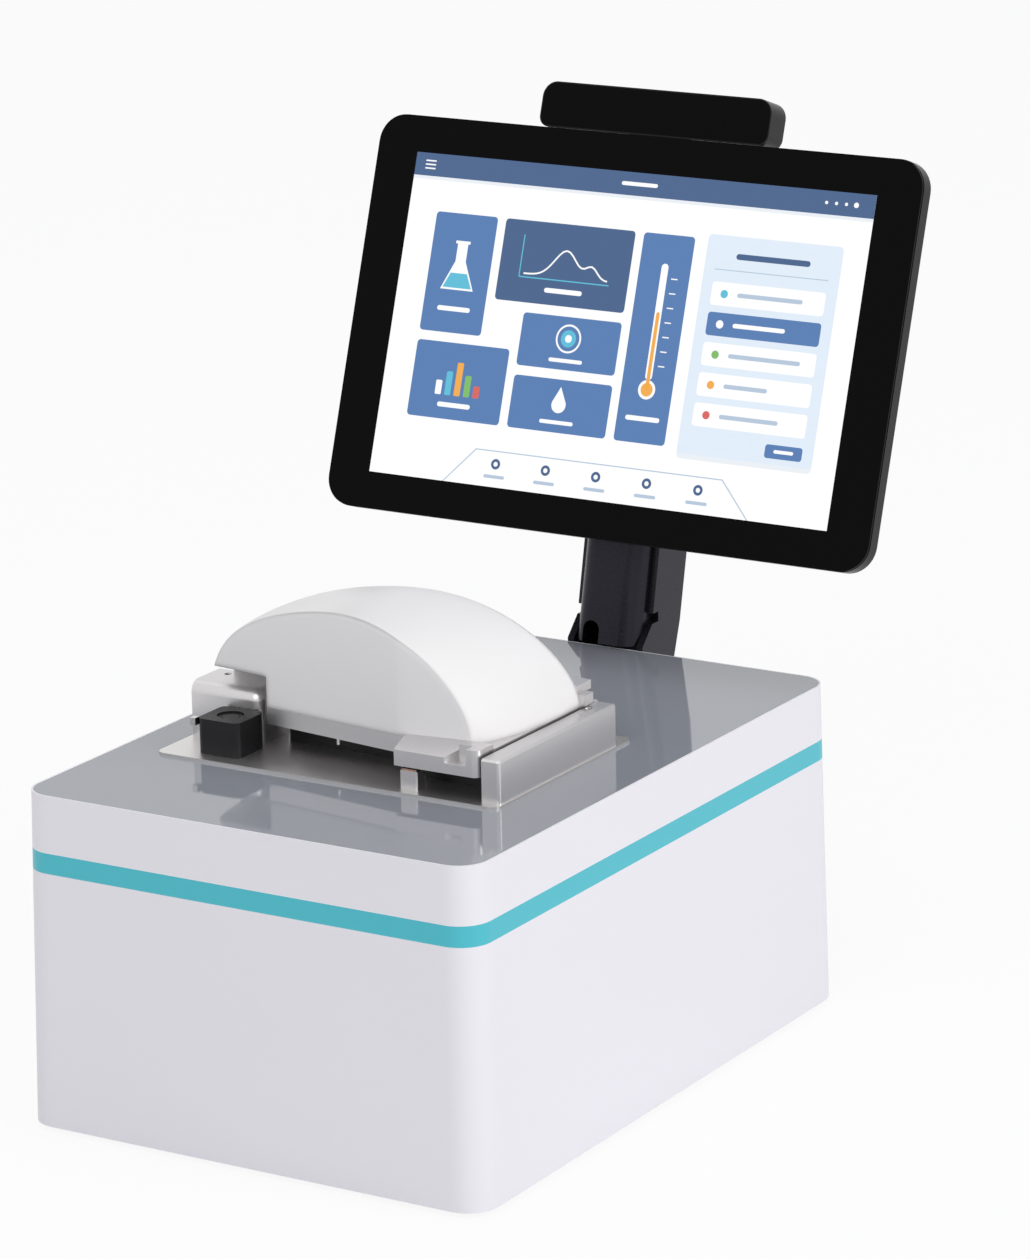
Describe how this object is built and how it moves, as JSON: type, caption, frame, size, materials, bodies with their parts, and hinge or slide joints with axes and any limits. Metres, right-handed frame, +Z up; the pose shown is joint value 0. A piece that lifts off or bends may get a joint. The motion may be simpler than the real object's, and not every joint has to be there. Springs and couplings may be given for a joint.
{
  "type": "microvolume spectrophotometer",
  "caption": "Benchtop microvolume spectrophotometer: tapered housing with a colour band, hinged measuring arm under a domed cover, and a tilting touch display on a neck.",
  "frame": {"origin": "midway between the four feet, on the surface that the instrument stands on", "axes": "+Z up, -Y towards the user in front of the instrument, +X to the user's right"},
  "size_m": [0.2566, 0.3338, 0.3635],
  "materials": {
    "housing_white": "satin",
    "accent_teal": "gloss",
    "panel_grey": "gloss",
    "cover_white": "satin",
    "satin_metal": "satin",
    "steel": "brushed",
    "bright_metal": "polished",
    "black_plastic": "matt",
    "black_gloss": "gloss",
    "screen_glass": "polished",
    "screen_panel": "gloss",
    "neck_grey": "satin",
    "copper": "polished",
    "rubber_dark": "matt",
    "board_green": "matt"
  },
  "bodies": {
    "base": {"accent_band": "accent_teal", "base_plate": "steel", "base_screws": "bright_metal", "bench_posts": "steel", "fan_frame": "black_plastic", "hinge_brackets": "satin_metal", "hinge_pin": "steel", "left_block": "satin_metal", "lower_housing": "housing_white", "main_board": "board_green", "neck_bracket": "neck_grey", "neck_front_shell": "neck_grey", "neck_screws": "bright_metal", "network_port": "bright_metal", "optical_bench": "satin_metal", "path_guides": "steel", "path_motor": "black_plastic", "pedestal_block": "black_plastic", "port_catch": "bright_metal", "post_pad": "copper", "power_board": "board_green", "power_jack": "black_plastic", "power_switch_frame": "black_plastic", "rear_panel": "steel", "rest_post": "satin_metal", "right_rail": "satin_metal", "rubber_feet": "rubber_dark", "spectrometer_module": "black_plastic", "stage_plate": "satin_metal", "stage_screws": "bright_metal", "tilt_pin": "steel", "top_panel": "panel_grey", "tube_port": "black_plastic", "upper_housing": "housing_white", "usb_ports": "bright_metal", "xenon_lamp": "satin_metal"},
    "rocker": {"power_rocker": "black_gloss"},
    "fan": {"fan_rotor": "black_plastic"},
    "plug": {"port_plug": "black_plastic"},
    "carriage": {"path_carriage": "satin_metal", "lower_pedestals": "steel"},
    "drive_screw": {"path_screw": "steel"},
    "arm": {"arm_base": "satin_metal", "arm_cover": "cover_white", "arm_lugs": "satin_metal", "arm_screws": "bright_metal", "lift_handle": "satin_metal", "upper_block": "black_plastic", "upper_pedestals": "steel"},
    "display": {"touch_glass": "screen_glass", "display_frame": "black_plastic", "lcd_panel": "screen_panel", "display_back_cover": "black_plastic", "display_board": "board_green", "display_screws": "bright_metal", "tilt_lugs": "neck_grey", "scanner_housing": "black_plastic", "scanner_window": "black_gloss", "scanner_board": "board_green", "scanner_stem": "black_plastic"}
  },
  "joints": [
    {"name": "arm_hinge", "type": "hinge", "parent": "base", "child": "arm", "pos_m": [0, 0.014, 0.1492], "axis": [-1, 0, 0], "range_deg": [0, 80]},
    {"name": "display_tilt", "type": "hinge", "parent": "base", "child": "display", "pos_m": [-0.005, 0.1765, 0.24359], "axis": [-1, 0, 0], "range_deg": [-8, 15]},
    {"name": "power_rocker_tilt", "type": "hinge", "parent": "base", "child": "rocker", "pos_m": [0.06, 0.13685, 0.028], "axis": [-1, 0, 0], "range_deg": [0, 16]},
    {"name": "fan_spin", "type": "hinge", "parent": "base", "child": "fan", "pos_m": [-0.048, 0.13185, 0.044], "axis": [0, 1, 0], "continuous": true},
    {"name": "plug_lift", "type": "slide", "parent": "base", "child": "plug", "axis": [0, 0, 1], "range_m": [0, 0.012]},
    {"name": "path_slide", "type": "slide", "parent": "base", "child": "carriage", "axis": [0, 0, 1], "range_m": [0, 0.0009]},
    {"name": "path_screw_turn", "type": "hinge", "parent": "base", "child": "drive_screw", "pos_m": [-0.0084, -0.028, 0.12], "axis": [0, 0, 1], "range_deg": [0, 324]}
  ],
  "couplings": [
    {"joint": "path_screw_turn", "follows": "path_slide", "rad_per_m": 6283.2}
  ]
}
